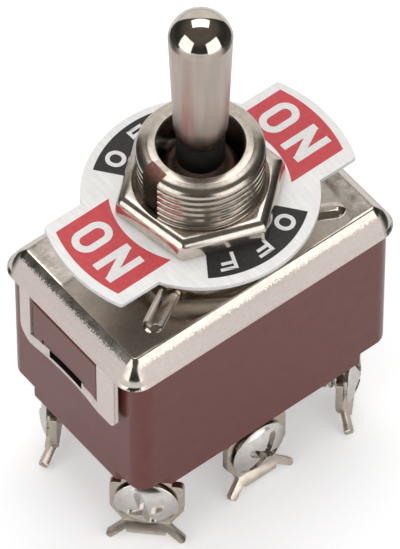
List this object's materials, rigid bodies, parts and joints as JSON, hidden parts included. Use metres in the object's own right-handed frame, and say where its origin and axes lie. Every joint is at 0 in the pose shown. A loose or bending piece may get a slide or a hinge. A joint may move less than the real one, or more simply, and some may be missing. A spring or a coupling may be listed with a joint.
{
  "type": "toggle switch",
  "caption": "Panel-mounting toggle switch with a bat lever, threaded bushing, on - off - on indicator plate, moulded housing and screw terminals.",
  "frame": {"origin": "on the bushing's axis in the top face of the cover", "axes": "+Z along the bushing towards the tip of the lever, X along the housing, which is the way the lever throws"},
  "size_m": [0.0318, 0.022, 0.0603],
  "materials": {
    "phenolic": "satin moulded phenolic",
    "nickel_steel": "nickel plated, satin",
    "nickel_brass": "nickel plated, turned",
    "plated_steel": "nickel plated",
    "plate_aluminium": "brushed, printed",
    "seal_rubber": "matte",
    "driver_nylon": "matte",
    "acetal": "matte",
    "spring_steel": "drawn wire",
    "copper": "satin",
    "silver": "satin"
  },
  "bodies": {
    "base": {"housing": "phenolic", "cover": "nickel_steel", "bushing": "nickel_brass", "back_nut": "plated_steel", "lock_washer": "plated_steel", "panel_nut": "plated_steel", "indicator_plate": "plate_aluminium", "fixed_contacts_front": "silver", "terminal_centre_front": "nickel_brass", "screw_centre_front": "plated_steel", "fixed_contacts_rear": "silver", "terminal_centre_rear": "nickel_brass", "screw_centre_rear": "plated_steel", "terminal_left_front": "nickel_brass", "screw_left_front": "plated_steel", "terminal_left_rear": "nickel_brass", "screw_left_rear": "plated_steel", "terminal_right_front": "nickel_brass", "screw_right_front": "plated_steel", "terminal_right_rear": "nickel_brass", "screw_right_rear": "plated_steel"},
    "lever_arm": {"lever": "nickel_brass", "lever_pin": "plated_steel", "neck_seal": "seal_rubber", "driver": "driver_nylon", "plunger_spring_front": "spring_steel", "plunger_spring_rear": "spring_steel"},
    "plunger_front_body": {"plunger_front": "acetal"},
    "rocker_front_body": {"rocker_front": "copper", "moving_contacts_front": "silver"},
    "plunger_rear_body": {"plunger_rear": "acetal"},
    "rocker_rear_body": {"rocker_rear": "copper", "moving_contacts_rear": "silver"}
  },
  "joints": [
    {"name": "lever_throw", "type": "hinge", "parent": "base", "child": "lever_arm", "pos_m": [0, 0, 0.0078], "axis": [0, 1, 0], "range_deg": [-12, 12]},
    {"name": "plunger_front_slide", "type": "slide", "parent": "lever_arm", "child": "plunger_front_body", "axis": [0, 0, 1], "range_m": [0, 0.0006], "stiffness_N_per_m": 500, "springref_m": -0.002, "deforming": ["plunger_spring_front"]},
    {"name": "plunger_rear_slide", "type": "slide", "parent": "lever_arm", "child": "plunger_rear_body", "axis": [0, 0, 1], "range_m": [0, 0.0006], "stiffness_N_per_m": 500, "springref_m": -0.002, "deforming": ["plunger_spring_rear"]},
    {"name": "rocker_front_tilt", "type": "hinge", "parent": "base", "child": "rocker_front_body", "pos_m": [0, -0.0041, -0.01445], "axis": [0, 1, 0], "range_deg": [-6, 6]},
    {"name": "rocker_rear_tilt", "type": "hinge", "parent": "base", "child": "rocker_rear_body", "pos_m": [0, 0.0041, -0.01445], "axis": [0, 1, 0], "range_deg": [-6, 6]}
  ],
  "couplings": [
    {"joint": "rocker_front_tilt", "follows": "lever_throw", "ratio": -0.5},
    {"joint": "rocker_rear_tilt", "follows": "lever_throw", "ratio": -0.5}
  ]
}
